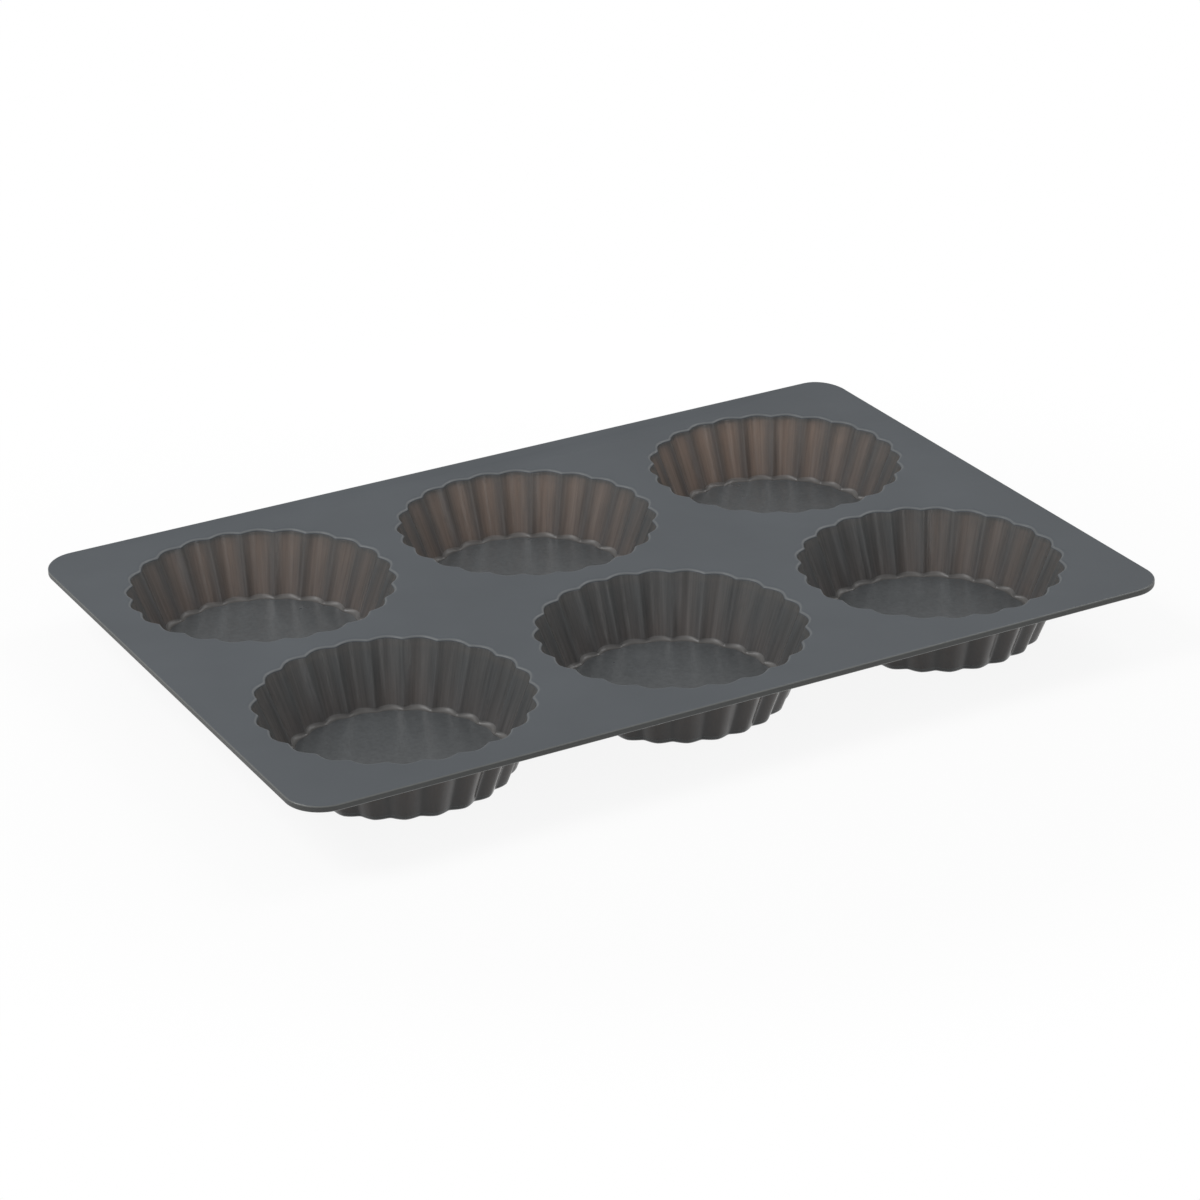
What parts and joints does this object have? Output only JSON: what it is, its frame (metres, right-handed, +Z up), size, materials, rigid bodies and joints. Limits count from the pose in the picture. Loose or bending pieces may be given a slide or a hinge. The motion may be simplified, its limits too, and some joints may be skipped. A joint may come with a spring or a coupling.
{
  "type": "silicone baking mould",
  "caption": "Flexible silicone baking mould: a thin round-cornered sheet with a grid of tapered, fluted tartlet cups.",
  "frame": {"origin": "on the table, under the centre of the tray", "axes": "+X along the tray's long side, +Y across it towards the back row, +Z up out of the cups' mouths"},
  "size_m": [0.284, 0.1886, 0.0215],
  "materials": {
    "deck_silicone": "matte",
    "wall_silicone": "satin",
    "floor_silicone": "satin"
  },
  "bodies": {
    "root": {"deck": "deck_silicone", "cup_wall_front_left": "wall_silicone", "cup_wall_front_middle": "wall_silicone", "cup_wall_front_right": "wall_silicone", "cup_wall_back_left": "wall_silicone", "cup_wall_back_middle": "wall_silicone", "cup_wall_back_right": "wall_silicone", "cup_floor_front_left": "floor_silicone", "cup_floor_front_middle": "floor_silicone", "cup_floor_front_right": "floor_silicone", "cup_floor_back_left": "floor_silicone", "cup_floor_back_middle": "floor_silicone", "cup_floor_back_right": "floor_silicone"}
  },
  "joints": []
}
